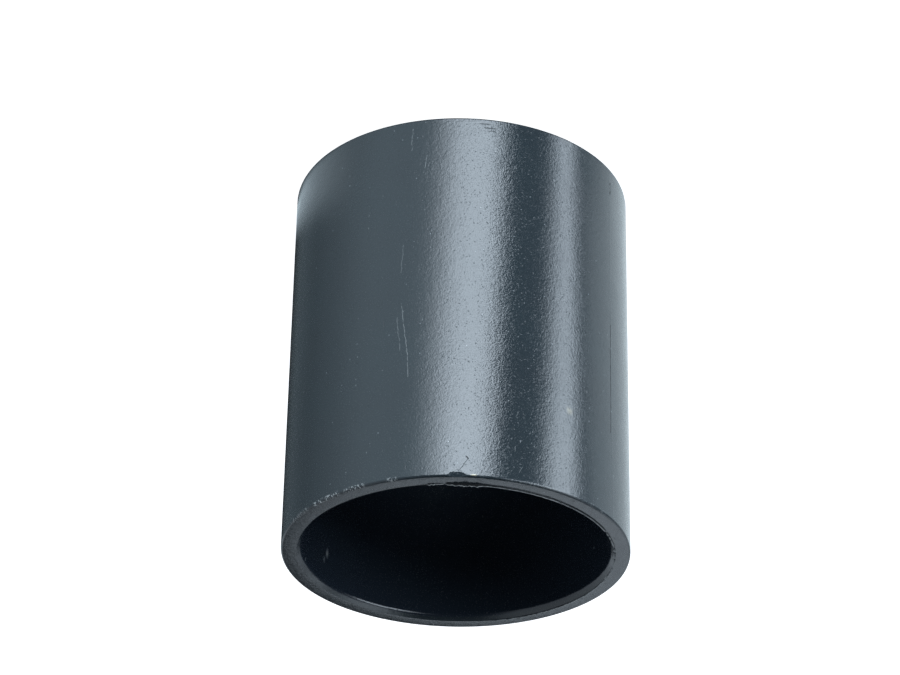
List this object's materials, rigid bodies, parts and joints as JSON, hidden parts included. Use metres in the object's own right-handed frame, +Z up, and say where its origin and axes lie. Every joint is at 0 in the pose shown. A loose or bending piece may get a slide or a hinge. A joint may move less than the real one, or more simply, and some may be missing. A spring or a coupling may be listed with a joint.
{
  "type": "pipe coupler",
  "caption": "Straight black plastic pipe coupler: a plain sleeve with a socket at each end and a stop ring between them, for joining pipes in line.",
  "frame": {"origin": "centre of the lower end face, on the bore's axis", "axes": "+Z up along the bore, -Y towards the side with the trimmed gate mark on the upper rim"},
  "size_m": [0.0412, 0.0412, 0.0482],
  "materials": {
    "black_plastic": "black moulded plastic with a fine orange-peel texture, lightly scuffed"
  },
  "bodies": {
    "root": {"coupler_body": "black_plastic"}
  },
  "joints": []
}
